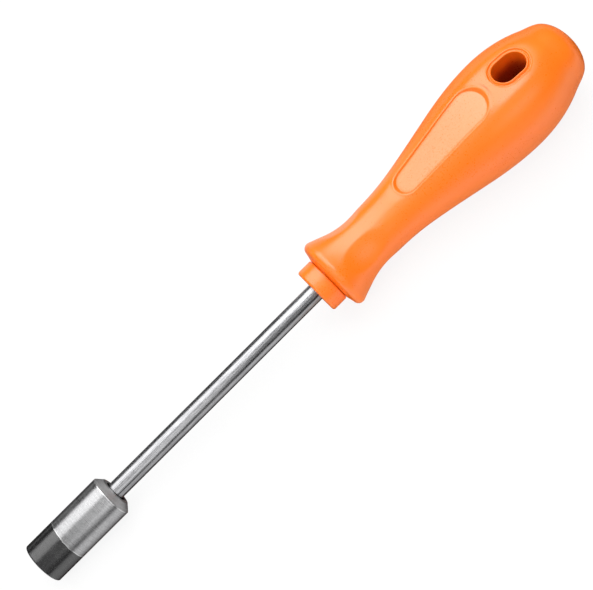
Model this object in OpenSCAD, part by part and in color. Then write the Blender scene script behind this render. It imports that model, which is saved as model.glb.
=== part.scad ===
// Nut driver: hexagonal socket on a round steel shaft, moulded into a screwdriver type handle.
// Origin: centre of the socket's mouth. +X runs along the tool to the handle, +Z out of the label face.

/* [Socket] */
// Nut size across the flats
nut_af = 10; // [8:0.5:11]
// Room of the hexagon over the nut
nut_gap = 0.1; // [0.05:0.05:0.3]
// Outside diameter
socket_d = 15.4; // [14.6:0.1:18]
// Length from the mouth to the rear face
socket_len = 33.2; // [32:0.2:45]
// Depth of the hexagon
hex_depth = 12; // [8:0.5:14]
// Depth of the stud well, from the mouth
well_depth = 17.5; // [15:0.5:18]
// Diameter of the stud well behind the hexagon
well_d = 9.8; // [7:0.1:10]
// Length of the blackened end
tip_len = 10.2; // [6:0.2:14]
// Length of the cone behind the side
shoulder_len = 2; // [1:0.1:3]
// Diameter of the rear face
shoulder_d = 11; // [9.6:0.1:12]
// Edge break round the mouth
mouth_edge = 0.35; // [0.2:0.05:0.6]
// Width of the flat rim round the mouth
rim_w = 1; // [0.6:0.1:1.3]

/* [Shaft] */
// Diameter of the bar
shaft_d = 6.2; // [5.6:0.1:7]
// Length from the socket's mouth to the collar
blade_len = 125; // [90:1:250]
// Core left behind the end of the bar
tang_wall = 6; // [4:0.5:12]
// Length held in the socket
seat_len = 10.5; // [8:0.5:11]
// Length of the round part of that seat
pilot_len = 2.5; // [1.5:0.5:4]
// Spigot size across the flats
spigot_af = 5.2; // [4.4:0.1:5.6]
// Width over the two wings
wing_w = 11; // [8:0.5:12]
// Thickness of the wings
wing_t = 2.4; // [1.6:0.1:3.2]
// Length of the wings
wing_len = 16; // [10:1:20]
// Distance from the wings to the end of the bar
wing_back = 6; // [4:1:10]

/* [Core] */
// Diameter of the collar
collar_d = 16.8; // [15:0.1:18]
// Length of the collar
collar_len = 6; // [5:0.2:9]
// Edge break on the collar
collar_edge = 0.5; // [0.2:0.1:0.8]
// Diameter of the stem through the neck
stem_d = 11.6; // [10:0.2:12.6]
// Diameter of the head in the belly
head_d = 17; // [15:0.2:18]
// Length of the head
head_len = 28; // [22:1:32]
// Grip left between the core and the hanging hole
core_wall = 8.8; // [6:0.1:12]
// Number of keyways round the head
keyway_count = 6; // [4:1:8]
// Width of the keyways
keyway_w = 3.2; // [2:0.2:4]
// Depth of the keyways
keyway_depth = 1.5; // [1:0.1:2]

/* [Grip] */
// Length of the handle with its collar
handle_len = 116.2; // [100:0.1:140]
// Diameter of the guard
guard_d = 26.2; // [24:0.2:30]
// Way that the guard's face leans back from the collar to its edge
guard_face = 0.6; // [0.2:0.1:1]
// Edge radius of the guard
guard_round = 2.2; // [1.6:0.1:2.6]
// Diameter of the neck
neck_d = 19.1; // [18.4:0.1:21]
// Distance from the collar's front to the neck
neck_at = 27.4; // [25:0.2:30]
// Diameter of the belly
belly_d = 35; // [33:0.2:38]
// Distance from the belly to the rear end
tail_len = 29.9; // [27:0.1:34]
// Depth that the label face and the back are flattened by
flat_cut = 0.64; // [0.4:0.02:1.2]
// Radius of their crown across the tool, over the height of the face
flat_crown = 12.6; // [8:0.2:20]
// Depth of the finger dimples
dimple_depth = 0.6; // [0.4:0.05:0.8]
// Radius of the finger dimples along the tool
dimple_r = 25; // [20:1:32]
// Radius of their crown across the tool, over the height of the dimple
dimple_crown = 14; // [8:1:24]
// Distance from the collar's front to the dimples
dimple_at = 23.9; // [22:0.1:26]
// Turn of the first dimple from the middle of the label face
dimple_turn = 39; // [30:1:60]

/* [Label panel] */
// Distance from the collar's front to the panel
panel_at = 41.4; // [38:0.2:44]
// Distance from the panel to the hanging hole's centre
panel_gap = 11.7; // [11:0.1:24]
// Width at the front end
panel_front_w = 8.4; // [7:0.1:10]
// Width at the rear end
panel_rear_w = 12.7; // [10:0.1:14]
// Depth of the panel
panel_depth = 1.1; // [0.6:0.1:1.4]

/* [Hanging hole] */
// Distance from the hole's centre to the rear end
hole_back = 23.3; // [21:0.1:26]
// Length of the hole
hole_len = 12.2; // [10:0.2:13]
// Width of the hole
hole_w = 8.3; // [6:0.1:9]
// Width of the lip round the hole
lip_w = 0.6; // [0.5:0.1:1]
// Width of the groove round the lip
groove_w = 0.7; // [0.6:0.1:1.2]
// Depth of the groove
groove_depth = 0.6; // [0.3:0.1:1]

/* [Fits] */
// Gap between pressed or moulded faces
fit_gap = 0.02; // [0:0.01:0.1]
// Gap between the shaft and the mouth of its bore
entry_gap = 0.5; // [0.3:0.1:1]

/* [Hidden] */
$fn = 96;

// Cuts run past the faces that they open by this much
over = 1;
// Half angle of the drill point at the end of the stud well
drill_half = 59;
// Half angle of the cone that leads a nut into the hexagon
lead_half = 45;
// How steeply the guard falls to the neck, as a slope and as an angle
guard_slope = -0.4;
guard_turn = atan(-guard_slope);
// Curve pieces are drawn in steps of about this length
step = 2.2;
// Steps on a rounded edge, on the domed rear end and on a round end of the label panel
edge_points = 7;
end_points = 10;
arc_points = 16;
// Way behind the neck at which the flattened faces begin to show
flat_lead = 3;

collar_r = collar_d / 2;
guard_at = collar_len + guard_face;
guard_r = guard_d / 2;
neck_r = neck_d / 2;
belly_r = belly_d / 2;
shaft_r = shaft_d / 2;
belly_at = handle_len - tail_len;
rise_len = belly_at - neck_at;
rise_r = belly_r - neck_r;
hole_at = handle_len - hole_back;
core_len = hole_at - hole_len / 2 - core_wall;
head_at = core_len - head_len;
tang_len = core_len - tang_wall;
seat_at = socket_len - seat_len;
pilot_at = socket_len - pilot_len;
shaft_end = blade_len + tang_len;

// The outline in handle coordinates: each knot is [distance from the collar's front, radius, slope].
guard_end = [guard_at + guard_round * (1 + sin(guard_turn)),
             guard_r - guard_round * (1 - cos(guard_turn)), guard_slope];
function rise(part, height, slope) =
    [neck_at + rise_len * part, neck_r + rise_r * height, slope * rise_r / rise_len];
function tail(part, share, slope) =
    [belly_at + tail_len * part, belly_r * share, slope * belly_r / tail_len];
knots = [guard_end, [neck_at, neck_r, 0], rise(0.254, 0.137, 1.185), rise(0.653, 0.712, 1.494),
         [belly_at, belly_r, 0], tail(0.65, 0.778, -0.745), tail(0.84, 0.647, -0.92)];
tail_end = knots[len(knots) - 1];

function hermite(a, b, x) =
    let (span = b[0] - a[0], s = (x - a[0]) / span)
    a[1] * (1 + 2 * s) * (1 - s) * (1 - s) + b[1] * s * s * (3 - 2 * s)
    + span * (a[2] * s * (1 - s) * (1 - s) - b[2] * s * s * (1 - s));
function knot_before(x, i = 0) =
    (i == len(knots) - 2 || x < knots[i + 1][0]) ? i : knot_before(x, i + 1);
function radius_at(x) = let (i = knot_before(x)) hermite(knots[i], knots[i + 1], x);
function stations(a, b) = let (n = ceil((b - a) / step)) [for (i = [0:n]) a + (b - a) * i / n];
function smooth(s) = let (c = min(max(s, 0), 1)) c * c * (3 - 2 * c);

// The rear corner and the domed end, as one Bezier curve that leaves along the tail.
corner_reach = (handle_len - tail_end[0]) * 0.46;
dome_reach = tail_end[1] * 0.575;
function bezier(a, b, c, d, s) =
    a * pow(1 - s, 3) + 3 * b * s * pow(1 - s, 2) + 3 * c * s * s * (1 - s) + d * pow(s, 3);
function end_point(s) = bezier(
    [tail_end[0], tail_end[1]],
    [tail_end[0] + corner_reach, tail_end[1] + corner_reach * tail_end[2]],
    [handle_len, dome_reach], [handle_len, 0], s);

guard_edge = [for (i = [0:edge_points]) let (a = 180 - (90 + guard_turn) * i / edge_points)
    [guard_at + guard_round * (1 + cos(a)), guard_r - guard_round * (1 - sin(a))]];
body_outline = concat(
    [[collar_len, 0], [collar_len, collar_r]], guard_edge,
    [for (i = [0:len(knots) - 2]) for (x = stations(knots[i][0], knots[i + 1][0]))
        if (x > knots[i][0]) [x, radius_at(x)]],
    [for (i = [1:end_points]) end_point(i / end_points)]);

// Height of the flattened faces above the axis: clear of the neck and the tail, flat_cut deep at the
// belly and as much less where the grip is thinner.
flat_from = neck_at + flat_lead;
flat_full = panel_at + over;
flat_until = hole_at + hole_len / 4;
flat_to = tail_end[0] + over;
function flat_share(x) =
    smooth((x - flat_from) / (flat_full - flat_from)) * smooth((flat_to - x) / (flat_to - flat_until));
function flat_height(x) =
    let (r = radius_at(x)) r + over - (flat_cut * r / belly_r + over) * flat_share(x);
flat_stations = stations(neck_at, tail_end[0]);

panel_front_r = panel_front_w / 2;
panel_rear_r = panel_rear_w / 2;
panel_front = panel_at + panel_front_r;
panel_rear = hole_at - panel_gap - panel_rear_r;

// Turns an outline of [distance along the tool, radius] points round the tool's axis.
module turned(outline) {
    rotate([0, 90, 0])
        rotate_extrude()
            polygon([for (p = outline) [p[1], p[0]]]);
}

// A bar along the tool from a to b.
module bar(a, b, r) {
    turned([[a, 0], [a, r], [b, r], [b, 0]]);
}

// A hexagonal bar along the tool, with two of its flats upright.
module hex_bar(a, b, across) {
    translate([a, 0, 0])
        rotate([0, 90, 0])
            cylinder(h = b - a, d = across / cos(30), $fn = 6);
}

// All that lies above the label face, lowered by depth: crowned across the tool, or level.
module above_face(depth) {
    top = belly_r + 2 * over + flat_crown;
    translate([0, 0, -flat_crown])
        turned(concat(
            [for (x = flat_stations) [x, flat_height(x) - depth + flat_crown]],
            [[tail_end[0], top], [neck_at, top]]));
}

module above_level(depth) {
    top = belly_r + 2 * over;
    rotate([90, 0, 0])
        linear_extrude(height = belly_d + 2 * over, center = true)
            polygon(concat(
                [for (x = flat_stations) [x, flat_height(x) - depth]],
                [[tail_end[0], top], [neck_at, top]]));
}

// A slot with round ends along the tool, upright through the handle or from z up.
module slot(width, length, z0, z1) {
    for (side = [-1, 1])
        translate([hole_at + side * (length - width) / 2, 0, z0])
            cylinder(h = z1 - z0, d = width);
    translate([hole_at - (length - width) / 2, -width / 2, z0])
        cube([length - width, width, z1 - z0]);
}

// The plan of the label panel: two round ends and the straight sides that touch both.
module panel_plan(height) {
    lean = asin((panel_rear_r - panel_front_r) / (panel_rear - panel_front));
    front_half = 90 - lean;
    rear_half = 90 + lean;
    linear_extrude(height = height)
        polygon(concat(
            [for (i = [0:arc_points]) let (a = 180 - front_half + 2 * front_half * i / arc_points)
                [panel_front + panel_front_r * cos(a), panel_front_r * sin(a)]],
            [for (i = [0:arc_points]) let (a = -rear_half + 2 * rear_half * i / arc_points)
                [panel_rear + panel_rear_r * cos(a), panel_rear_r * sin(a)]]));
}

// A ring whose inner side cuts one finger dimple, above the neck.
module dimple_ring() {
    translate([dimple_at, 0, -dimple_crown])
        rotate([0, 90, 0])
            rotate_extrude()
                translate([dimple_crown + radius_at(dimple_at) - dimple_depth + dimple_r, 0])
                    circle(r = dimple_r);
}

// The groove that leaves a lip round the hanging hole, on the label face.
module hole_groove() {
    lip = 2 * lip_w;
    ring = lip + 2 * groove_w;
    intersection() {
        difference() {
            slot(hole_w + ring, hole_len + ring, 0, belly_r + over);
            slot(hole_w + lip, hole_len + lip, -over, belly_r + 2 * over);
        }
        above_face(groove_depth);
    }
}

// The bar as it lies in the handle, grown by gap.
module tang_form(gap) {
    wing_to = shaft_end - wing_back;
    half = wing_w / 2 + gap;
    ramp = wing_w / 2 - shaft_r;
    bar(blade_len - over, shaft_end + gap, shaft_r + gap);
    translate([0, 0, -wing_t / 2 - gap])
        linear_extrude(height = wing_t + 2 * gap)
            polygon([[wing_to - wing_len - gap - ramp, 0], [wing_to - wing_len - gap, half],
                     [wing_to + gap, half], [wing_to + gap + ramp, 0],
                     [wing_to + gap, -half], [wing_to - wing_len - gap, -half]]);
}

// The core as it lies in the grip, in handle coordinates, grown by gap.
module core_form(gap) {
    head_r = head_d / 2;
    stem_r = stem_d / 2;
    cone_end = head_at + head_r - stem_r;
    keyway_from = cone_end + keyway_w + gap;
    keyway_len = core_len - keyway_w - gap - keyway_from;
    difference() {
        turned([[collar_len - over, 0], [collar_len - over, stem_r + gap], [head_at - gap, stem_r + gap],
                [cone_end - gap, head_r + gap], [core_len + gap, head_r + gap], [core_len + gap, 0]]);
        for (i = [0:keyway_count - 1])
            rotate([360 * i / keyway_count, 0, 0])
                translate([keyway_from, gap - keyway_w / 2, head_r - keyway_depth + gap])
                    cube([keyway_len, keyway_w - 2 * gap, keyway_depth + over]);
    }
}

module handle_body() {
    color([1, 0.5, 0.12])
        translate([blade_len, 0, 0])
            difference() {
                turned(body_outline);
                core_form(fit_gap);
                for (turn = [0, 180])
                    rotate([turn, 0, 0]) {
                        above_face(0);
                        hole_groove();
                    }
                for (turn = [0:90:270])
                    rotate([dimple_turn + turn, 0, 0])
                        dimple_ring();
                slot(hole_w, hole_len, -belly_d, belly_d);
                intersection() {
                    panel_plan(belly_r + over);
                    above_level(panel_depth);
                }
            }
}

module handle_core() {
    color([0.98, 0.46, 0.1])
        difference() {
            translate([blade_len, 0, 0]) {
                core_form(0);
                turned([[0, 0], [0, collar_r - collar_edge], [collar_edge, collar_r],
                        [collar_len - collar_edge, collar_r], [collar_len, collar_r - collar_edge],
                        [collar_len, 0]]);
            }
            tang_form(fit_gap);
        }
}

module shaft() {
    color([0.8, 0.8, 0.82]) {
        tang_form(0);
        bar(pilot_at, blade_len, shaft_r);
        hex_bar(seat_at, pilot_at, spigot_af);
    }
}

module socket() {
    socket_r = socket_d / 2;
    shoulder_r = shoulder_d / 2;
    hex_af = nut_af + nut_gap;
    well_r = well_d / 2;
    lead_r = socket_r - mouth_edge - rim_w;
    entry_r = shaft_r + entry_gap;
    difference() {
        union() {
            color([0.16, 0.16, 0.17])
                turned([[0, 0], [0, socket_r - mouth_edge], [mouth_edge, socket_r],
                        [tip_len, socket_r], [tip_len, 0]]);
            color([0.7, 0.7, 0.71])
                turned([[tip_len, 0], [tip_len, socket_r], [socket_len - shoulder_len, socket_r],
                        [socket_len, shoulder_r], [socket_len, 0]]);
        }
        hex_bar(-over, hex_depth, hex_af);
        turned([[-over, 0], [-over, well_r], [well_depth, well_r],
                [well_depth + well_r / tan(drill_half), 0]]);
        turned([[-over, 0], [-over, lead_r + over / tan(lead_half)], [lead_r * tan(lead_half), 0]]);
        hex_bar(seat_at - fit_gap, pilot_at, spigot_af + 2 * fit_gap);
        bar(pilot_at - fit_gap, socket_len + over, shaft_r + fit_gap);
        turned([[socket_len - entry_gap, 0], [socket_len - entry_gap, shaft_r],
                [socket_len, entry_r], [socket_len + over, entry_r], [socket_len + over, 0]]);
    }
}

handle_body();
handle_core();
shaft();
socket();
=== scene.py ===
import math

import bmesh
import bpy
import numpy as np
from mathutils import Matrix, Vector


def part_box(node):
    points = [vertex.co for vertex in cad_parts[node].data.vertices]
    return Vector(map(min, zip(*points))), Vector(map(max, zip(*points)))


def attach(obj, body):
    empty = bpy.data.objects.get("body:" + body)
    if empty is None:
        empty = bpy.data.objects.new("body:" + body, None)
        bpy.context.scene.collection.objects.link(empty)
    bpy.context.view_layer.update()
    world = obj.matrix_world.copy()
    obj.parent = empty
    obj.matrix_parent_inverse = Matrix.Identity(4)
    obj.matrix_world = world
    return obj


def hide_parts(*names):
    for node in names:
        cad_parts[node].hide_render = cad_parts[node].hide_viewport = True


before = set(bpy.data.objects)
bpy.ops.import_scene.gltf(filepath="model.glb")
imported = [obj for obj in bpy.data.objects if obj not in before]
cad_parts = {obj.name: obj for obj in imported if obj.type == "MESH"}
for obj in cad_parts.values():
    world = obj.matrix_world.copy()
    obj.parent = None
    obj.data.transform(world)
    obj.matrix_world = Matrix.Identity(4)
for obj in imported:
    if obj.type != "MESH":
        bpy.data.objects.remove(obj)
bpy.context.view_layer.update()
mm = 0.001  # sizes are in millimetres here and become metres as a mesh is made
print("frame loaded:", ", ".join(sorted(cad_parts)))


def boxOf(node):  # a node's lowest and highest corner, in millimetres
    low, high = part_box(node)
    return np.array(low) / mm, np.array(high) / mm


# where the pieces lie along the tool, all from the frame
gripLow, gripHigh = boxOf("handle_body")
coreLow, coreHigh = boxOf("handle_core")
shaftHigh = boxOf("shaft")[1]
socketHigh = boxOf("socket")[1]
collarFront = coreLow[0]
collarLen = gripLow[0] - collarFront
handleLen = gripHigh[0] - collarFront
coreLen = coreHigh[0] - collarFront


# mesh tools

def smooth(share):  # 0 to 1 with level ends
    share = np.clip(share, 0, 1)
    return share * share * (3 - 2 * share)


def softMin(a, b, width):  # the lower of two surfaces, with a rounded crease
    share = np.clip(0.5 + 0.5 * (b - a) / width, 0, 1)
    return b + (a - b) * share - width * share * (1 - share)


def turnsOf(count):  # angles round the axis, from the label face
    return np.arange(count) * 2 * math.pi / count


def hexRadius(across, turns):  # a hexagon with two upright flats, as a radius
    return across / 2 / np.cos(np.mod(turns, math.pi / 3) - math.pi / 6)


def rounded(corners, steps=6, run=0.3):
    # corners are (along, radius, edge radius), and an edge becomes an arc with a short run on either side
    path = []
    points = [np.array(corner[:2], float) for corner in corners]
    for i, corner in enumerate(corners):
        edge = corner[2] if len(corner) > 2 else 0
        if not edge:
            path.append(points[i])
            continue
        back = points[i - 1] - points[i]
        ahead = points[i + 1] - points[i]
        back = back / np.linalg.norm(back)
        ahead = ahead / np.linalg.norm(ahead)
        half = math.acos(np.clip(back @ ahead, -1, 1)) / 2
        reach = edge / math.tan(half)
        middle = back + ahead
        centre = points[i] + middle / np.linalg.norm(middle) * edge / math.sin(half)
        start = points[i] + back * reach
        end = points[i] + ahead * reach
        sweep = math.pi - 2 * half
        path.append(start + back * edge * run)
        for s in np.linspace(0, 1, steps + 1):
            spoke = (start - centre) * math.sin((1 - s) * sweep) + (end - centre) * math.sin(s * sweep)
            path.append(centre + spoke / math.sin(sweep))
        path.append(end + ahead * edge * run)
    return path


roundTurns = 192  # points round the bar, the core and the socket


class Skin:  # the points and faces of one closed surface
    def __init__(self, turnCount):
        self.turns = turnsOf(turnCount)
        self.points = []
        self.faces = []

    def row(self, points):
        first = len(self.points)
        self.points.extend(tuple(p) for p in points)
        return list(range(first, len(self.points)))

    def ring(self, along, radius):  # along and radius may change round the ring
        along = np.broadcast_to(along, self.turns.shape)
        return self.row(np.stack([along, radius * np.sin(self.turns), radius * np.cos(self.turns)], axis=1))

    def bridge(self, a, b):  # quads between two closed rows
        for i in range(len(a)):
            j = (i + 1) % len(a)
            self.faces.append((a[i], a[j], b[j], b[i]))

    def tip(self, along, row):  # closes a ring onto a point on the axis
        peak = self.row([(along, 0, 0)])[0]
        for i in range(len(row)):
            self.faces.append((row[i], row[(i + 1) % len(row)], peak))

    def lathe(self, rings):  # rings of (along, radius) from one tip on the axis to the other
        rows = [self.ring(along, radius) for along, radius in rings[1:-1]]
        for a, b in zip(rows, rows[1:]):
            self.bridge(a, b)
        self.tip(rings[0][0], rows[0])
        self.tip(rings[-1][0], rows[-1])

    def piece(self, name, node, finish, sharp=32):  # sharp is the least angle of an edge that shows
        mesh = bpy.data.meshes.new(name)
        mesh.from_pydata([Vector(p) * mm for p in self.points], [], self.faces)
        work = bmesh.new()
        work.from_mesh(mesh)
        bmesh.ops.recalc_face_normals(work, faces=work.faces)
        loose = sum(not edge.is_manifold for edge in work.edges)
        work.to_mesh(mesh)
        work.free()
        mesh.polygons.foreach_set("use_smooth", [True] * len(mesh.polygons))
        mesh.set_sharp_from_angle(angle=math.radians(sharp))
        mesh.materials.append(finish)
        made = bpy.data.objects.new(name, mesh)
        bpy.context.scene.collection.objects.link(made)
        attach(made, "root")
        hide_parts(node)
        print(name, "made:", len(mesh.polygons), "faces,", loose, "open edges")


# shader tools

class Wire:  # a socket whose sums and products add Math nodes
    def __init__(self, finish, socket):
        self.finish = finish
        self.socket = socket

    def __add__(self, other):
        return self.finish.maths("ADD", self, other)

    def __sub__(self, other):
        return self.finish.maths("SUBTRACT", self, other)

    def __rsub__(self, other):
        return self.finish.maths("SUBTRACT", other, self)

    def __mul__(self, other):
        return self.finish.maths("MULTIPLY", self, other)

    __radd__ = __add__
    __rmul__ = __mul__


class Finish:  # a node tree for a surface or the world
    def __init__(self, tree):
        self.tree = tree
        tree.nodes.clear()

    def node(self, kind, settings, inputs, out=0):
        made = self.tree.nodes.new("ShaderNode" + kind)
        for key, value in settings.items():
            if key == "stops":
                ramp = made.color_ramp.elements
                while len(ramp) < len(value):
                    ramp.new(1)
                for stop, (place, shade) in zip(ramp, value):
                    stop.position = place
                    stop.color = grey(shade)
            else:
                setattr(made, key, value)
        for key, value in inputs.items():
            if isinstance(value, Wire):
                self.tree.links.new(value.socket, made.inputs[key])
            else:
                made.inputs[key].default_value = value
        return Wire(self, made.outputs[out]) if len(made.outputs) else made

    def maths(self, operation, a, b):
        return self.node("Math", {"operation": operation}, {0: a, 1: b})

    def place(self, stretch=(1, 1, 1)):  # the point in the tool's frame, stretched
        point = self.node("TexCoord", {}, {}, "Object")
        return self.node("VectorMath", {"operation": "MULTIPLY"}, {0: point, 1: stretch})

    def axis(self, letter):  # one of its coordinates, in millimetres
        return self.node("SeparateXYZ", {}, {"Vector": self.place((1 / mm,) * 3)}, letter)

    def noise(self, waves, detail=2.0, rough=0.5):  # waves to the millimetre along the tool and across it
        along, across = (count / mm for count in waves)
        return self.node("TexNoise", {}, {"Vector": self.place((along, across, across)), "Scale": 1.0,
                                          "Detail": detail, "Roughness": rough})

    def swing(self, noise, amount):  # a noise about nought
        return (noise - 0.5) * amount

    def outside(self, capsule):  # millimetres outside a round-ended outline, seen from the label face
        front, rear, frontR, rearR = capsule
        x = self.axis("X") - collarFront - front
        y = self.axis("Y")
        spine = self.node("Clamp", {}, {"Value": x, "Min": 0, "Max": rear - front})
        away = self.maths("POWER", (x - spine) * (x - spine) + y * y, 0.5)
        return away - frontR - spine * ((rearR - frontR) / (rear - front))

    def ramp(self, value, *stops):
        return self.node("ValToRGB", {"stops": stops}, {"Fac": value})

    def ease(self, value, low, high):  # 0 below low, 1 above high
        return self.node("MapRange", {"interpolation_type": "SMOOTHSTEP"},
                         {"Value": value, "From Min": low, "From Max": high})

    def blend(self, share, a, b):  # two colours
        return self.node("Mix", {"data_type": "RGBA"}, {0: share, 6: a, 7: b}, 2)

    def bump(self, height, strength, depth):
        return self.node("Bump", {}, {"Height": height, "Strength": strength, "Distance": depth * mm})

    def surface(self, **inputs):
        shader = self.node("BsdfPrincipled", {}, {k.replace("_", " "): v for k, v in inputs.items()})
        self.node("OutputMaterial", {}, {"Surface": shader})


def newFinish(name):
    material = bpy.data.materials.new(name)
    material.use_nodes = True
    print("finish begun:", name)
    return material, Finish(material.node_tree)


def rgb(r, g, b):
    return (r, g, b, 1)


def grey(level):
    return rgb(level, level, level)


# orange moulded plastic: a fine spark grain, faint flow marks and a few rubbed specks, with a painted
# highlight on the label panel's floor and painted shade down in the hanging hole
mouldedPlastic = {
    "colour": rgb(0.99, 0.182, 0.005),
    "paler": rgb(1.0, 0.2, 0.007),
    "deeper": rgb(0.95, 0.14, 0.003),
    "pale": rgb(1.0, 0.28, 0.1),            # a painted highlight on the label panel's level floor
    "shadowed": rgb(0.42, 0.045, 0.003),    # painted shade down in the hanging hole
    "rough": 0.3,
    "roughGrain": 0.16,         # how far the grain and the flow marks change the roughness
    "roughFlow": 0.08,
    "ior": 1.54,
    "shine": 0.7,               # specular level
    "grain": (1.7, 1.7),        # waves to the millimetre along the tool and across it, as in the next two
    "flow": (0.03, 0.09),
    "specks": (2.1, 2.1),
    "grainDepth": 0.03,
    "grainStrength": 0.12,
    "pitLimits": (0.52, 0.3),
    "pitShare": 0.22,           # of the deeper colour, in the pits of the grain
    "flowLimits": (0.35, 0.7),
    "speckLimits": (0.66, 0.74),
    "speckShare": 0.1,
    "labelEdge": (-0.5, -0.9),  # millimetres outside the panel's outline
    "labelShare": 0.55,         # of the pale painted highlight, and how far the grain changes that share
    "labelGrain": 1.2,
    "holeEdge": (0.3, 0.05),    # millimetres outside the hole's outline
    "holeFade": (0.78, 0.35),   # heights, as shares of the belly's radius
}


def plasticFinish(name, spec, label=None, hole=None):
    material, f = newFinish(name)
    flow = f.noise(spec["flow"], 3)
    grain = f.noise(spec["grain"], 3, 0.6)
    specks = f.ease(f.noise(spec["specks"], 1), *spec["speckLimits"])
    colour = f.blend(f.ease(flow, *spec["flowLimits"]), spec["colour"], spec["paler"])
    colour = f.blend(f.ease(grain, *spec["pitLimits"]) * spec["pitShare"], colour, spec["deeper"])
    colour = f.blend(specks * spec["speckShare"], colour, spec["paler"])
    # a painted highlight: the label panel's level floor paler than the rest
    if label:
        panelHighlight = f.ease(f.outside(label), *spec["labelEdge"]) * f.ease(f.axis("Z"), 0, 1)
        share = spec["labelShare"] + f.swing(grain, spec["labelGrain"])
        colour = f.blend(panelHighlight * share, colour, spec["pale"])
    # painted shade, darker further down the hanging hole
    if hole:
        top, bottom = (bellyR * part for part in spec["holeFade"])
        depth = f.ease(f.maths("ABSOLUTE", f.axis("Z"), 0), top, bottom)
        colour = f.blend(f.ease(f.outside(hole), *spec["holeEdge"]) * depth, colour, spec["shadowed"])
    f.surface(Base_Color=colour,
              Roughness=spec["rough"] + f.swing(grain, spec["roughGrain"]) + f.swing(flow, spec["roughFlow"]),
              IOR=spec["ior"],
              Specular_IOR_Level=spec["shine"],
              Normal=f.bump(grain, spec["grainStrength"], spec["grainDepth"]))
    return material


# bright drawn bar: fine lines along its length and a few handling marks
drawnSteel = {
    "colour": rgb(0.48, 0.48, 0.49),
    "dark": rgb(0.26, 0.26, 0.27),
    "rough": 0.28,
    "roughStreaks": 0.16,
    "roughCloud": 0.1,
    "roughMarks": 0.1,
    "lines": (0.02, 5.0),       # waves to the millimetre along the bar and across it, as in the next three
    "streaks": (0.25, 2.5),
    "cloud": (0.12, 0.5),
    "marks": (0.8, 2.6),
    "toneLimits": (0.36, 0.63),
    "markLimits": (0.67, 0.75),
    "markShare": 0.3,
    "lineStrength": 0.1,
    "lineDepth": 0.01,
}


def drawnFinish(spec):
    material, f = newFinish("drawnSteel")
    lines = f.noise(spec["lines"], 2, 0.6)
    streaks = f.noise(spec["streaks"], 3, 0.65)
    cloud = f.noise(spec["cloud"], 3)
    marks = f.ease(f.noise(spec["marks"], 2), *spec["markLimits"])
    tone = f.ease(lines * 0.5 + streaks * 0.5, *spec["toneLimits"])
    roughness = spec["rough"] + f.swing(streaks, spec["roughStreaks"]) + f.swing(cloud, spec["roughCloud"])
    colour = f.blend(tone, spec["dark"], spec["colour"])
    f.surface(Base_Color=f.blend(marks * spec["markShare"], colour, spec["dark"]),
              Metallic=1.0,
              Roughness=roughness + marks * spec["roughMarks"],
              Normal=f.bump(lines, spec["lineStrength"], spec["lineDepth"]))
    return material


# turned socket: satin steel with fine lines round it, and a black oxide end with a slanted edge; painted
# highlights along that edge and round the shoulder, a painted reflection on the rear cone and painted shade
# round the bar where it enters
socketSteel = {
    "colour": rgb(0.51, 0.51, 0.515),
    "dark": rgb(0.33, 0.33, 0.335),
    "cone": rgb(0.7, 0.7, 0.705),       # a painted reflection on the rear cone, lighter than the sides
    "edge": grey(0.85),                 # painted highlight beside the black end and along the shoulder
    "black": rgb(0.003, 0.003, 0.0032),
    "speck": grey(0.024),
    "entryShade": grey(0.03),                # painted shade round the bar, where it enters
    "rough": 0.3,
    "roughCone": 0.25,          # more than the sides, on the rear cone
    "roughLines": 0.16,
    "roughCloud": 0.1,
    "blackRough": 0.25,
    "blackCloud": 0.12,
    "ior": 1.6,
    "shine": 0.95,              # specular level of the black end
    "lines": (7.0, 0.05),       # waves to the millimetre along the tool and across it, as in the next four
    "cloud": (0.25, 0.25),
    "wave": (0.2, 0.45),
    "grain": (2.2, 2.2),
    "specks": (2.9, 2.9),
    "toneLimits": (0.34, 0.64),
    "speckLimits": (0.52, 0.68),
    "tipLen": 11.4,             # of the black end
    "tipSlant": 0.065,          # its edge leans this much for each millimetre across
    "tipWave": 0.9,
    "tipFade": 0.06,
    "blackHighlightFrom": (-0.12, 0.04),    # millimetres behind the black edge
    "blackHighlightTo": (0.3, 0.1),
    "blackHighlightShare": 0.8,
    "coneFade": 0.2,
    "shoulderHighlightFrom": (-0.36, -0.22),     # millimetres behind the shoulder
    "shoulderHighlightTo": (0.06, -0.08),
    "shoulderHighlightShare": 0.55,
    "entryShadeRing": (3.95, 3.75),      # radii where the painted shade ends
    "entryShadeFrom": (15, 16),
    "lineStrength": 0.16,
    "lineDepth": 0.012,
    "speckRise": 1.5,
}


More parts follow.
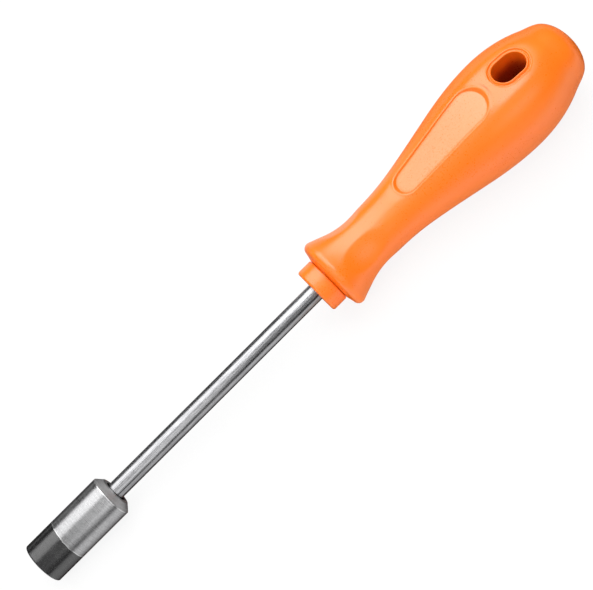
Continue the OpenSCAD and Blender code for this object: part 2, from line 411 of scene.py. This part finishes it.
def socketFinish(spec):
    material, f = newFinish("socketSteel")
    lines = f.noise(spec["lines"], 3, 0.7)
    cloud = f.noise(spec["cloud"], 3)
    wave = f.noise(spec["wave"], 2)
    x, y, z = (f.axis(letter) for letter in "XYZ")
    edge = x - spec["tipLen"] - y * spec["tipSlant"] + f.swing(wave, spec["tipWave"])
    black = f.ease(edge, spec["tipFade"], -spec["tipFade"])
    # a painted highlight along the black end's edge
    blackEdgeHighlight = f.ease(edge, *spec["blackHighlightFrom"]) * f.ease(edge, *spec["blackHighlightTo"])
    grain = f.noise(spec["grain"], 3, 0.6)
    specks = f.ease(f.noise(spec["specks"], 2), *spec["speckLimits"])
    tone = f.ease(lines * 0.5 + grain * 0.5, *spec["toneLimits"])
    steel = f.blend(tone, spec["dark"], spec["colour"])
    past = x - (socketHigh[0] - socket["shoulderLen"])
    cone = f.ease(past, -spec["coneFade"], spec["coneFade"])
    # a painted highlight in a band along the shoulder's edge
    shoulderHighlight = f.ease(past, *spec["shoulderHighlightFrom"]) * f.ease(past, *spec["shoulderHighlightTo"])
    # a painted reflection: the rear cone lighter, along its lines
    steel = f.blend(cone * lines, steel, spec["cone"])
    steel = f.blend(blackEdgeHighlight * spec["blackHighlightShare"] + shoulderHighlight * spec["shoulderHighlightShare"], steel, spec["edge"])
    # painted shade: a dark ring on the rear face round the bar
    fromAxis = f.maths("POWER", y * y + z * z, 0.5)
    ring = f.ease(fromAxis, *spec["entryShadeRing"]) * f.ease(x, *spec["entryShadeFrom"])
    steel = f.blend(ring, steel, spec["entryShade"])
    soot = f.blend(specks, spec["black"], spec["speck"])
    steelRough = spec["rough"] + cone * spec["roughCone"]
    steelRough = steelRough + f.swing(lines, spec["roughLines"]) + f.swing(cloud, spec["roughCloud"])
    sootRough = spec["blackRough"] + f.swing(cloud, spec["blackCloud"])
    height = lines * (1 - black) + specks * black * spec["speckRise"]
    f.surface(Base_Color=f.blend(black, steel, soot),
              Metallic=1 - black,
              IOR=spec["ior"],
              Specular_IOR_Level=spec["shine"],
              Roughness=steelRough + (sootRough - steelRough) * black,
              Normal=f.bump(height, spec["lineStrength"], spec["lineDepth"]))
    return material


# the grip: its outline is measured from the collar's front, along the tool
grip = {
    "guardWidth": 26.2,
    "guardFace": 0.6,       # way that the guard's face leans back from the collar
    "guardEdge": 2.2,
    "guardSlope": -0.4,
    "neckWidth": 19.1,
    "neckAt": 27.4,
    "tailLen": 29.9,        # from the belly to the rear end
    # knots between the neck, the belly and the rear end: shares of the way and of the rise, and a slope
    "riseKnots": ((0.254, 0.137, 1.185), (0.653, 0.712, 1.494)),
    "tailKnots": ((0.65, 0.778, -0.745), (0.84, 0.647, -0.92)),
    "domeReach": 0.46,      # shares of the way left and of the radius left, for the curve of the rear end
    "domeWidth": 0.575,
    "flatCut": 0.64,        # depth that the label face and the back are flattened by
    "flatCrown": 12.6,      # radius of their crown across the tool, over the height of the face
    "flatLead": 3.0,
    "flatClear": 1.0,       # above the skin where they fade out
    "flatCrease": 0.3,
    "dimpleDepth": 0.6,
    "dimpleRadius": 25.0,   # along the tool
    "dimpleCrown": 14.0,    # radius across the tool, over the height of the dimple
    "dimpleAt": 23.9,
    "dimpleTurn": 39.0,     # from the middle of the label face to the first dimple
    "dimpleCrease": 0.16,
    "meshStep": 0.6,
    "turnCount": 200,
    "guardRows": 13,
    "domeRows": 27,
    "sharp": 50,            # degrees between faces that show as an edge
    "windowPart": 0.1,      # of a turn, to either side of the windows for the panel and the hole
    "windowAhead": 4.0,     # room along the tool in those windows
    "windowBetween": 2.0,
    "windowBehind": 4.4,
}
panel = {
    "at": 41.4,
    "gap": 11.7,            # from its rear end to the middle of the hanging hole
    "frontWidth": 8.4,
    "rearWidth": 12.7,
    "depth": 1.1,           # of its level floor, under the middle of the face
    "wallLean": 1.0,        # width of its wall for each millimetre of height
    "bead": 0.1,            # rise of the rim round it
    "beadAt": 0.4,          # from the top of the wall
    "beadWidth": 0.28,
    "moat": 0.1,            # dip along the foot of the wall
    "moatWidth": 0.8,
    "margin": 1.6,          # width of the fine rows outside the wall, and where they stop before it
    "rimGap": 0.1,
    "floorShares": (0.3, 0.5, 0.75),    # of the way in to the middle, for the rows of the floor
    "rows": {"face": 5, "bead": 12, "wall": 13, "moat": 7},
}
hangHole = {
    "back": 23.3,           # from its middle to the rear end
    "length": 12.2,
    "width": 8.3,
    "lip": 0.6,
    "lipRound": 0.45,
    "groove": 0.7,
    "grooveDepth": 0.6,
    "grooveEase": 0.2,      # the groove's rounded edges reach this much further
    "bead": 0.08,           # rise outside the groove
    "beadOut": 0.15,        # from the groove's rounded edge
    "beadWidth": 0.2,
    "margin": 2.4,          # width of the fine rows round the hole
    "rows": {"face": 7, "groove": 24, "lip": 8, "wall": 31},
}
coreForm = {
    "collarWidth": 16.8,
    "stemWidth": 11.6,
    "headWidth": 17.0,
    "headLen": 28.0,
    "keyways": 6,
    "keywayWidth": 3.2,
    "keywayDepth": 1.5,
    "frontEdge": 0.8,
    "rearEdge": 0.5,
    "boreEdge": 0.2,
    "endEdge": 0.4,
    "seam": 0.15,           # gap between the collar and the guard
    "boreRoom": 0.02,
    "seatChamfer": 0.2,     # of the grip's bore behind the collar, and the edge of the seat there
    "seatEdge": 0.3,
}

guardAt = collarLen + grip["guardFace"]
guardR = grip["guardWidth"] / 2
neckR = grip["neckWidth"] / 2
bellyR = gripHigh[1]
bellyAt = handleLen - grip["tailLen"]
riseLen = bellyAt - grip["neckAt"]
riseR = bellyR - neckR
guardTurn = math.atan(-grip["guardSlope"])
holeAt = handleLen - hangHole["back"]
headAt = coreLen - coreForm["headLen"]

# outlines on the label face: the middles of the round ends, and their radii
holeR = hangHole["width"] / 2
holeRun = hangHole["length"] / 2 - holeR
holeShape = (holeAt - holeRun, holeAt + holeRun, holeR, holeR)
panelShape = (panel["at"] + panel["frontWidth"] / 2, holeAt - panel["gap"] - panel["rearWidth"] / 2,
              panel["frontWidth"] / 2, panel["rearWidth"] / 2)

# knots of the outline: distance, radius and slope
guardEnd = (guardAt + grip["guardEdge"] * (1 + math.sin(guardTurn)),
            guardR - grip["guardEdge"] * (1 - math.cos(guardTurn)), grip["guardSlope"])
knots = [guardEnd, (grip["neckAt"], neckR, 0)]
for part, height, slope in grip["riseKnots"]:
    knots.append((grip["neckAt"] + riseLen * part, neckR + riseR * height, slope * riseR / riseLen))
knots.append((bellyAt, bellyR, 0))
for part, share, slope in grip["tailKnots"]:
    knots.append((bellyAt + grip["tailLen"] * part, bellyR * share, slope * bellyR / grip["tailLen"]))
knots = np.array(knots)
tailEnd = knots[-1]
print("outline of the grip set:", len(knots), "knots")


def outlineRadius(h):
    i = np.clip(np.searchsorted(knots[:, 0], h, side="right") - 1, 0, len(knots) - 2)
    a, b = knots[i], knots[i + 1]
    span = b[..., 0] - a[..., 0]
    s = (h - a[..., 0]) / span
    return (a[..., 1] * (1 + 2 * s) * (1 - s) ** 2 + b[..., 1] * s * s * (3 - 2 * s)
            + span * (a[..., 2] * s * (1 - s) ** 2 - b[..., 2] * s * s * (1 - s)))


def domePoint(s):  # the rear corner and the domed end as one Bezier curve
    reach = (handleLen - tailEnd[0]) * grip["domeReach"]
    a = np.array([tailEnd[0], tailEnd[1]])
    b = np.array([tailEnd[0] + reach, tailEnd[1] + reach * tailEnd[2]])
    c = np.array([handleLen, tailEnd[1] * grip["domeWidth"]])
    d = np.array([handleLen, 0])
    return a * (1 - s) ** 3 + 3 * b * s * (1 - s) ** 2 + 3 * c * s * s * (1 - s) + d * s ** 3


def flatHeight(h):  # the flattened faces, above the skin where they fade out
    clear = grip["flatClear"]
    start = grip["neckAt"] + grip["flatLead"]
    full = panel["at"] + clear
    until = holeAt + hangHole["length"] / 4
    stop = tailEnd[0] + clear
    share = smooth((h - start) / (full - start)) * smooth((stop - h) / (stop - until))
    r = outlineRadius(h)
    return r + clear - (grip["flatCut"] * r / bellyR + clear) * share


def crownRadius(height, crown, away):
    # a face of that height, as a radius from the axis; its crown's radius is larger than the height by crown
    return np.sqrt((height + crown) ** 2 - (crown * np.sin(away)) ** 2) - crown * np.cos(away)


def gripRadius(h, turn):
    r = outlineRadius(h)
    for side in (0, math.pi):
        r = softMin(r, crownRadius(flatHeight(h), grip["flatCrown"], turn - side), grip["flatCrease"])
    far = outlineRadius(np.array(grip["dimpleAt"])) - grip["dimpleDepth"] + grip["dimpleRadius"]
    dent = far - np.sqrt(np.maximum(grip["dimpleRadius"] ** 2 - (h - grip["dimpleAt"]) ** 2, 0))
    for quarter in range(4):
        away = turn + math.radians(grip["dimpleTurn"] + 90 * quarter)
        r = softMin(r, crownRadius(dent, grip["dimpleCrown"], away), grip["dimpleCrease"])
    return r


def faceHeight(h, y, rounds=14):  # height of the label face above the axis, at a place seen from above it
    turn = np.arcsin(np.clip(y / outlineRadius(h), -1, 1))
    for i in range(rounds):
        turn = np.arcsin(np.clip(y / gripRadius(h, turn), -1, 1))
    return gripRadius(h, turn) * np.cos(turn)


def capsuleFoot(h, y, capsule):
    # nearest point on the spine of a round-ended outline, the outline's radius there and the way out
    front, rear, frontR, rearR = capsule
    lean = (rearR - frontR) / (rear - front)
    upright = math.sqrt(1 - lean * lean)
    s = np.clip(h - front + np.abs(y) * lean / upright, 0, rear - front)
    out = np.stack([h - front - s, y], axis=-1)
    out = out / np.linalg.norm(out, axis=-1, keepdims=True)
    return front + s, frontR + lean * s, out


class Sill:  # the outline of an opening in a face, from which rows of points are set off
    def __init__(self, rimH, rimY, capsule):
        self.foot, self.radius, self.out = capsuleFoot(rimH, rimY, capsule)
        self.away = np.hypot(rimH - self.foot, rimY) - self.radius

    def place(self, o):  # along, across and the face's height, at a distance outside the outline
        h = self.foot + self.out[:, 0] * (self.radius + o)
        y = self.out[:, 1] * (self.radius + o)
        return h, y, faceHeight(h, y)

    def approach(self, o, steps):  # rows on the face from the rim of its window in to a distance
        for part in np.linspace(0, 1, steps + 1)[1:-1]:
            yield self.place(self.away + (o - self.away) * part)


def hump(away, width):  # a low bead, 1 on its middle line
    return math.exp(-(away / width) ** 2)


def panelRows(sill):  # from the face over a low bead, down the wall and through a moat to a level floor
    count = panel["rows"]
    h, y, face = sill.place(0)
    half = panel["wallLean"] * (face - flatHeight(h) + panel["depth"]) / 2
    yield from sill.approach(panel["margin"], count["face"])
    for o in np.linspace(panel["margin"], panel["rimGap"], count["bead"]):
        h, y, face = sill.place(half + o)
        rise = panel["bead"] * hump(o - panel["beadAt"], panel["beadWidth"])
        yield h, y, np.minimum(face + rise, gripHigh[2])
    for s in np.linspace(1, -1, count["wall"]):
        h, y, face = sill.place(half * s)
        floor = flatHeight(h) - panel["depth"] - panel["moat"]
        share = (1 - s) / 2
        yield h, y, face + (floor - face) * (share + smooth(share)) / 2
    for o in np.linspace(0, panel["moatWidth"], count["moat"])[1:]:
        h, y, face = sill.place(-half - o)
        yield h, y, flatHeight(h) - panel["depth"] - panel["moat"] * (1 - smooth(o / panel["moatWidth"]))
    inset = half + panel["moatWidth"]
    for part in panel["floorShares"]:
        h, y, face = sill.place(-inset - (sill.radius - inset) * part)
        yield h, y, flatHeight(h) - panel["depth"]


def holeRows(sill):  # from the face through the groove, over the lip and down to the hole's wall
    count = hangHole["rows"]
    middle = hangHole["lip"] + hangHole["groove"] / 2
    half = hangHole["groove"] / 2 + hangHole["grooveEase"]
    beadAt = middle + half + hangHole["beadOut"]
    yield from sill.approach(hangHole["margin"], count["face"])
    for o in np.linspace(hangHole["margin"], hangHole["lipRound"], count["groove"]):
        h, y, face = sill.place(o)
        share = np.clip((o - middle) / half, -1, 1)
        rise = hangHole["bead"] * hump(o - beadAt, hangHole["beadWidth"])
        dip = hangHole["grooveDepth"] * (0.5 + 0.5 * math.cos(math.pi * share))
        yield h, y, np.minimum(face + rise - dip, gripHigh[2])
    for a in np.linspace(0, math.pi / 2, count["lip"])[1:]:
        h, y, face = sill.place(hangHole["lipRound"] * (1 - math.sin(a)))
        yield h, y, face - hangHole["lipRound"] * (1 - math.cos(a))


def patchLoop(first, last, half):
    # the rim of a window in the grid, as (station, turn) steps from its front middle
    loop = [(first, j) for j in range(half)]
    loop += [(i, half) for i in range(first, last)]
    loop += [(last, j) for j in range(half, -half, -1)]
    loop += [(i, -half) for i in range(last, first, -1)]
    return loop + [(first, j) for j in range(-half, 0)]


def buildGrip():
    skin = Skin(grip["turnCount"])
    count = grip["turnCount"]
    halfWindow = round(count * grip["windowPart"])
    breaks = [guardEnd[0],
              panel["at"] - grip["windowAhead"],
              holeAt - panel["gap"] + grip["windowBetween"],
              holeAt + hangHole["length"] / 2 + grip["windowBehind"],
              tailEnd[0]]
    stations = [breaks[0]]
    marks = [0]
    for a, b in zip(breaks, breaks[1:]):
        steps = math.ceil((b - a) / grip["meshStep"])
        stations += list(np.linspace(a, b, steps + 1)[1:])
        marks.append(len(stations) - 1)

    # from the end of the core's cavity, out over the guard and back to the rear end
    stemR = coreForm["stemWidth"] / 2 + coreForm["boreRoom"]
    headR = coreForm["headWidth"] / 2 + coreForm["boreRoom"]
    collarR = coreForm["collarWidth"] / 2
    chamfer = coreForm["seatChamfer"]
    inner = [(coreLen + coreForm["boreRoom"], headR), (headAt + headR - stemR, headR), (headAt, stemR),
             (collarLen + chamfer, stemR), (collarLen, stemR + chamfer),
             (collarLen, collarR, coreForm["seatEdge"]), (guardAt, guardR - grip["guardEdge"])]
    rows = [skin.ring(h, r) for h, r in rounded(inner)[:-1]]
    for a in np.linspace(math.pi, math.pi / 2 - guardTurn, grip["guardRows"])[:-1]:
        rows.append(skin.ring(guardAt + grip["guardEdge"] * (1 + math.cos(a)),
                              guardR - grip["guardEdge"] * (1 - math.sin(a))))
    firstStation = len(rows)
    for h in stations:
        rows.append(skin.ring(h, gripRadius(np.full(count, h), skin.turns)))
    for s in np.linspace(0, 1, grip["domeRows"])[1:-1]:
        rows.append(skin.ring(*domePoint(s)))

    # the grid, with a window for the panel and one on each face for the hole
    windows = [(marks[1], marks[2], 0), (marks[2], marks[3], 0), (marks[2], marks[3], count // 2)]
    for i in range(len(rows) - 1):
        station = i - firstStation
        for j in range(count):
            held = False
            for first, last, middle in windows:
                offset = (j - middle + count // 2) % count - count // 2
                held = held or (first <= station < last and -halfWindow <= offset < halfWindow)
            if not held:
                k = (j + 1) % count
                skin.faces.append((rows[i][j], rows[i][k], rows[i + 1][k], rows[i + 1][j]))
    skin.tip(coreLen + coreForm["boreRoom"], rows[0])
    skin.tip(handleLen, rows[-1])

    def fillWindow(window, capsule, rowsOf, side):
        # bridges rows of points from the window's rim inward, on the label face or the back,
        # and returns the last row
        first, last, middle = window
        loop = patchLoop(first, last, halfWindow)
        previous = [rows[firstStation + i][(middle + side * j) % count] for i, j in loop]
        rim = np.array([skin.points[p] for p in previous])
        for h, y, height in rowsOf(Sill(rim[:, 0], rim[:, 1], capsule)):
            row = skin.row(np.stack([h, y, side * height], axis=1))
            skin.bridge(previous, row)
            previous = row
        return previous

    # the label panel, with its floor closed across the middle
    row = fillWindow(windows[0], panelShape, panelRows, 1)
    n = len(row)
    skin.faces.append((row[0], row[1], row[n - 1]))
    skin.faces.append((row[n // 2 - 1], row[n // 2], row[n // 2 + 1]))
    for k in range(1, n // 2 - 1):
        skin.faces.append((row[k], row[k + 1], row[n - k - 1], row[n - k]))

    # the hanging hole, a window on each face and the wall between them
    upper = fillWindow(windows[1], holeShape, holeRows, 1)
    lower = fillWindow(windows[2], holeShape, holeRows, -1)
    top = np.array([skin.points[p] for p in upper])
    bottom = np.array([skin.points[p] for p in lower])
    previous = upper
    for s in np.linspace(0, 1, hangHole["rows"]["wall"])[1:-1]:
        row = skin.row(top + (bottom - top) * s)
        skin.bridge(previous, row)
        previous = row
    skin.bridge(previous, lower)
    skin.points = [(collarFront + x, y, z) for x, y, z in skin.points]
    finish = plasticFinish("gripPlastic", mouldedPlastic, panelShape, holeShape)
    skin.piece("gripBody", "handle_body", finish, grip["sharp"])


buildGrip()


# the bar, with the spigot that sits in the socket and the wings that hold it in the core
shaft = {
    "width": 6.2,
    "seatLen": 10.5,
    "pilotLen": 2.5,
    "spigotAcross": 5.2,
    "spigotChamfer": 0.3,
    "wingWidth": 11.0,
    "wingThick": 2.4,
    "wingLen": 16.0,
    "wingBack": 6.0,
    "wingFoot": 0.02,       # share of its height that a wing starts with
    "endEdge": 0.4,
    "barRows": 60,
    "wingRows": 6,
}


def buildShaft():
    skin = Skin(roundTurns)
    spec = shaft
    barR = spec["width"] / 2
    spigot = hexRadius(spec["spigotAcross"], skin.turns)
    chamfer = spec["spigotChamfer"]
    seatAt = socketHigh[0] - spec["seatLen"]
    pilotAt = socketHigh[0] - spec["pilotLen"]
    wingTo = shaftHigh[0] - spec["wingBack"]
    wingFrom = wingTo - spec["wingLen"]
    ramp = spec["wingWidth"] / 2 - barR

    def winged(halfWidth):  # the bar's section with a flat wing on either side
        tiny = 1e-9
        across = np.abs(np.sin(skin.turns)) + tiny
        thick = np.abs(np.cos(skin.turns)) + tiny
        return np.maximum(barR, np.minimum(halfWidth / across, spec["wingThick"] / 2 / thick))

    rings = [(seatAt, 0), (seatAt, spigot - chamfer), (seatAt + chamfer, spigot), (pilotAt, spigot)]
    rings += [(x, barR) for x in np.linspace(pilotAt, wingFrom - ramp, spec["barRows"])]
    for s in np.linspace(spec["wingFoot"], 1, spec["wingRows"]):
        rings.append((wingFrom - ramp * (1 - s), winged(barR + ramp * s)))
    for s in np.linspace(0, 1 - spec["wingFoot"], spec["wingRows"]):
        rings.append((wingTo + ramp * s, winged(barR + ramp * (1 - s))))
    rearEnd = [(wingTo + ramp, barR), (shaftHigh[0], barR, spec["endEdge"]), (shaftHigh[0], 0)]
    rings += [tuple(p) for p in rounded(rearEnd)]
    skin.lathe(rings)
    skin.piece("drawnBar", "shaft", drawnFinish(drawnSteel))


def buildCore():  # the collar in front of the guard, and the keyed core behind it in the grip
    skin = Skin(roundTurns)
    spec = coreForm
    boreR = shaft["width"] / 2 + spec["boreRoom"]
    collarR = spec["collarWidth"] / 2
    stemR = spec["stemWidth"] / 2
    headR = spec["headWidth"] / 2
    coneEnd = headAt + headR - stemR
    seamAt = collarLen - spec["seam"]
    tangEnd = shaftHigh[0] - collarFront + spec["boreRoom"]
    front = [(tangEnd, 0), (tangEnd, boreR), (0, boreR, spec["boreEdge"]), (0, collarR, spec["frontEdge"]),
             (seamAt, collarR, spec["rearEdge"]), (seamAt, stemR), (headAt, stemR), (coneEnd, headR)]
    step = math.pi * 2 / spec["keyways"]
    away = np.mod(skin.turns + step / 2, step) - step / 2
    floorR = (headR - spec["keywayDepth"]) / np.cos(away)
    inKeyway = np.abs(np.sin(away)) * headR < spec["keywayWidth"] / 2
    keyed = np.where(inKeyway, np.minimum(floorR, headR), headR)
    keyFrom = coneEnd + spec["keywayWidth"]
    keyTo = coreLen - spec["keywayWidth"]
    rings = [tuple(p) for p in rounded(front)]
    rings += [(keyFrom, headR), (keyFrom, keyed), (keyTo, keyed)]
    rings += [tuple(p) for p in rounded([(keyTo, headR), (coreLen, headR, spec["endEdge"]), (coreLen, 0)])]
    skin.lathe([(collarFront + x, r) for x, r in rings])
    skin.piece("collarCore", "handle_core", plasticFinish("collarPlastic", mouldedPlastic))


buildShaft()
buildCore()


# the socket: outside turned, inside a hexagon with a round well behind it
socket = {
    "nutAcross": 10.1,
    "hexDepth": 12.0,
    "wellDepth": 17.5,
    "wellWidth": 9.8,
    "drillHalf": 59.0,      # half of the drill's point, in degrees
    "shoulderLen": 2.0,
    "shoulderWidth": 11.0,
    "mouthEdge": 0.4,
    "rim": 1.0,
    "rimEdge": 0.35,
    "shoulderEdge": 0.3,
    "rearEdge": 0.2,
    "leadEdge": 0.12,
    "leadFoot": 5.0,        # radius at which the lead-in's slope is aimed
    "entryGap": 0.5,
    "entryEdge": 0.08,
    "fitGap": 0.02,
    "hexRows": 13,
}


def buildSocket():
    skin = Skin(roundTurns)
    spec = socket
    sideR = socketHigh[1]
    length = socketHigh[0]
    wellR = spec["wellWidth"] / 2
    barR = shaft["width"] / 2 + spec["fitGap"]
    leadR = sideR - spec["rimEdge"] - spec["rim"]
    nut = hexRadius(spec["nutAcross"], skin.turns)
    spigot = hexRadius(shaft["spigotAcross"] + 2 * spec["fitGap"], skin.turns)
    pilotAt = length - shaft["pilotLen"] - spec["fitGap"]
    seatAt = length - shaft["seatLen"] - spec["fitGap"]
    drillTip = spec["wellDepth"] + wellR / math.tan(math.radians(spec["drillHalf"]))
    lead = leadR - nut
    rings = [(drillTip, 0), (spec["wellDepth"], wellR), (spec["hexDepth"], wellR)]
    for s in np.linspace(0, 1, spec["hexRows"]):
        rings.append((spec["hexDepth"] + (lead - spec["hexDepth"]) * s, nut))
    outside = rounded([(leadR - spec["leadFoot"], spec["leadFoot"]),
                       (0, leadR, spec["leadEdge"]), (0, sideR, spec["mouthEdge"]),
                       (length - spec["shoulderLen"], sideR, spec["shoulderEdge"]),
                       (length, spec["shoulderWidth"] / 2, spec["rearEdge"]),
                       (length, barR + spec["entryGap"], spec["entryEdge"]),
                       (length - spec["entryGap"], barR)])
    rings += [tuple(p) for p in outside[1:]]
    rings += [(pilotAt, barR), (pilotAt, spigot), (seatAt, spigot), (seatAt, 0)]
    skin.lathe(rings)
    skin.piece("nutSocket", "socket", socketFinish(socketSteel))


buildSocket()


# camera: as far off as the photo's perspective says, with the label face turned away from it a little
cameraSpec = {
    "away": 471.7,
    "labelTurn": 27.7,      # degrees between the label face's normal and the view
    "aim": 119.86,          # along the tool
    "aimAside": 3.68,       # off the axis, to the upper left of the picture
    "axisRise": (0.7083, 0.7059),   # the tool's axis in the picture, to the right and up
    "frameWidth": 593,
    "focus": 1452,          # in picture widths of one pixel
}


def placeCamera(spec):
    tilt = math.radians(spec["labelTurn"])
    toCamera = Vector((0, -math.sin(tilt), math.cos(tilt)))
    aside = Vector((0, math.cos(tilt), math.sin(tilt)))
    along = Vector((1, 0, 0))
    right, rise = spec["axisRise"]
    across = (along * right - aside * rise).normalized()
    up = toCamera.cross(across)
    eye = (along * spec["aim"] + aside * spec["aimAside"] + toCamera * spec["away"]) * mm
    lens = bpy.data.cameras.new("camera")
    lens.sensor_width = 36
    lens.lens = lens.sensor_width * spec["focus"] / spec["frameWidth"]
    lens.clip_start = 0.01
    lens.clip_end = 20
    camera = bpy.data.objects.new("camera", lens)
    camera.matrix_world = Matrix.Translation(eye) @ Matrix((across, up, toCamera)).transposed().to_4x4()
    bpy.context.scene.collection.objects.link(camera)
    bpy.context.scene.camera = camera
    return toCamera, aside


toCamera, aside = placeCamera(cameraSpec)


# the floor touches the socket's mouth and the flat on the back of the belly
stage = {
    "floorSize": 4000,
    "floorColour": grey(0.9),
    "clear": 0.05,
    "touchSteps": 400,      # places along the grip that are tried for the touch
    "ownWhite": 0.88,       # share of plain white that the camera sees in the floor
    "farSide": (-70, -160),
    # what the tool mirrors, from a start along it: plain, darker far off to the right, and a painted shadow
    # between two sides near the tool, warmed by a painted orange bounce beside the grip
    "zones": (
        {"start": (-1000, -900), "plain": grey(1), "far": grey(0.7), "dark": grey(0.05),
         "right": (-25, 0), "left": (250, 120)},
        {"start": (105, 135), "plain": grey(0.88), "far": grey(0.06), "dark": rgb(0.55, 0.37, 0.28),
         "right": (-65, -5), "left": (45, 12)},
        {"start": (158, 182), "plain": grey(0.85), "far": grey(0.06), "dark": rgb(0.34, 0.22, 0.16),
         "right": (-65, -5), "left": (250, 120)},
    ),
    "under": rgb(0.03, 0.008, 0.004),   # and a painted shadow for what it mirrors right under itself
    "underSide": (12, 7),
    "worldShades": ((0.0, 0.8), (0.49, 0.8), (0.5, 0.03), (0.7, 0.03), (0.8, 0.22), (1.0, 0.22)),
    "worldLevel": 1.0,
    "aheadGlow": 0.45,      # light from beyond the socket, for the faces that look that way
    "aheadSide": (-0.6, -0.95),
}
# lamps: turn is degrees from the view, to the lower right of the picture, and at is along the tool;
# one that isn't mirrored lights the plastic but leaves no shine
lamps = {
    "keyLight": {"turn": -56, "at": 465, "away": 900, "size": (670, 1000), "power": 7.5, "mirrored": True},
    "barKey": {"turn": -56, "at": -65, "away": 900, "size": (390, 1000), "power": 2.9, "mirrored": True},
    "barKeyRest": {"turn": -56, "at": -65, "away": 900, "size": (390, 1000), "power": 1.1, "mirrored": False},
    "innerKey": {"turn": -18, "at": 500, "away": 900, "size": (500, 300), "power": 2.2, "mirrored": True},
    "frontFill": {"turn": 26, "at": 465, "away": 900, "size": (530, 300), "power": 0.6, "mirrored": True},
    "barFill": {"turn": 8, "at": 8, "away": 300, "size": (84, 320), "power": 0.105, "mirrored": True},
    "rearFill": {"turn": -6, "at": 65, "away": 900, "size": (130, 380), "power": 0.16, "mirrored": True},
    "tipFill": {"turn": 32, "at": -22, "away": 300, "size": (55, 180), "power": 0.029, "mirrored": True},
    "washFill": {"turn": -10, "at": -600, "away": 900, "size": (900, 500), "power": 4.4, "mirrored": False},
    "sideFill": {"turn": 60, "at": 100, "away": 900, "size": (900, 500), "power": 2.1, "mirrored": False},
}


def layFloor():
    h = np.linspace(grip["neckAt"], tailEnd[0], stage["touchSteps"])
    slope = np.max((flatHeight(h) - socketHigh[2]) / (collarFront + h))
    size = stage["floorSize"]
    corners = []
    for x, y in ((-size, -size), (size, -size), (size, size), (-size, size)):
        corners.append(Vector((x, y, -socketHigh[2] - stage["clear"] - slope * x)) * mm)
    mesh = bpy.data.meshes.new("floor")
    mesh.from_pydata(corners, [], [(0, 1, 2, 3)])
    material, f = newFinish("floorPaper")
    paper = f.node("BsdfDiffuse", {}, {"Color": stage["floorColour"]})
    glossy = f.node("LightPath", {}, {}, "Is Glossy Ray")
    mirrored = glossy + f.node("LightPath", {}, {}, "Is Transmission Ray")
    x, y = f.axis("X"), f.axis("Y")
    shade = grey(1)
    # painted shadow near the tool and painted orange bounce beside the grip, on what the floor shows only to
    # reflections
    for zone in stage["zones"]:
        tone = f.blend(f.ease(y, *stage["farSide"]), zone["plain"], zone["far"])
        tone = f.blend(f.ease(y, *zone["right"]) * f.ease(y, *zone["left"]), tone, zone["dark"])
        shade = f.blend(mirrored * f.ease(x, *zone["start"]), shade, tone)
    # painted shadow right under the tool, shown only to reflections
    below = f.ease(f.maths("ABSOLUTE", y, 0), *stage["underSide"])
    shade = f.blend(mirrored * below, shade, stage["under"])
    glow = f.node("BsdfPrincipled", {}, {"Base Color": grey(0), "Specular IOR Level": 0,
                                         "Emission Color": shade, "Emission Strength": 1.0})
    seen = f.node("LightPath", {}, {}, "Is Camera Ray") * stage["ownWhite"] + mirrored
    mixed = f.node("MixShader", {}, {0: seen, 1: paper, 2: glow})
    f.node("OutputMaterial", {}, {"Surface": mixed})
    mesh.materials.append(material)
    floor = bpy.data.objects.new("floor", mesh)
    bpy.context.scene.collection.objects.link(floor)
    print("floor laid, falling", round(math.degrees(math.atan(slope)), 2), "degrees along the tool")


def hangLamp(name, spec):  # a soft box that faces the tool
    turn = math.radians(spec["turn"])
    along = Vector((1, 0, 0))
    toLamp = toCamera * math.cos(turn) - aside * math.sin(turn)
    light = bpy.data.lights.new(name, "AREA")
    light.shape = "RECTANGLE"
    light.size, light.size_y = (side * mm for side in spec["size"])
    light.energy = spec["power"]
    lamp = bpy.data.objects.new(name, light)
    lamp.visible_camera = False
    lamp.visible_glossy = spec["mirrored"]
    lamp.matrix_world = (Matrix.Translation((along * spec["at"] + toLamp * spec["away"]) * mm)
                         @ Matrix((along, toLamp.cross(along), toLamp)).transposed().to_4x4())
    bpy.context.scene.collection.objects.link(lamp)


def lightStudio():
    for name, spec in lamps.items():
        hangLamp(name, spec)

    # the room: pale at floor level, dark above it and grey overhead
    world = bpy.data.worlds.new("room")
    world.use_nodes = True
    bpy.context.scene.world = world
    f = Finish(world.node_tree)
    way = f.node("TexCoord", {}, {}, "Generated")
    height = f.node("SeparateXYZ", {}, {"Vector": way}, "Z")
    ahead = f.ease(f.node("SeparateXYZ", {}, {"Vector": way}, "X"), *stage["aheadSide"])
    shade = f.ramp(height * 0.5 + 0.5, *stage["worldShades"])
    shade = f.blend(ahead, shade, grey(stage["aheadGlow"]))
    sky = f.node("Background", {}, {"Color": shade, "Strength": stage["worldLevel"]})
    f.node("OutputWorld", {}, {"Surface": sky})
    print("studio lit")


layFloor()
lightStudio()
bpy.context.scene.view_settings.view_transform = "Standard"
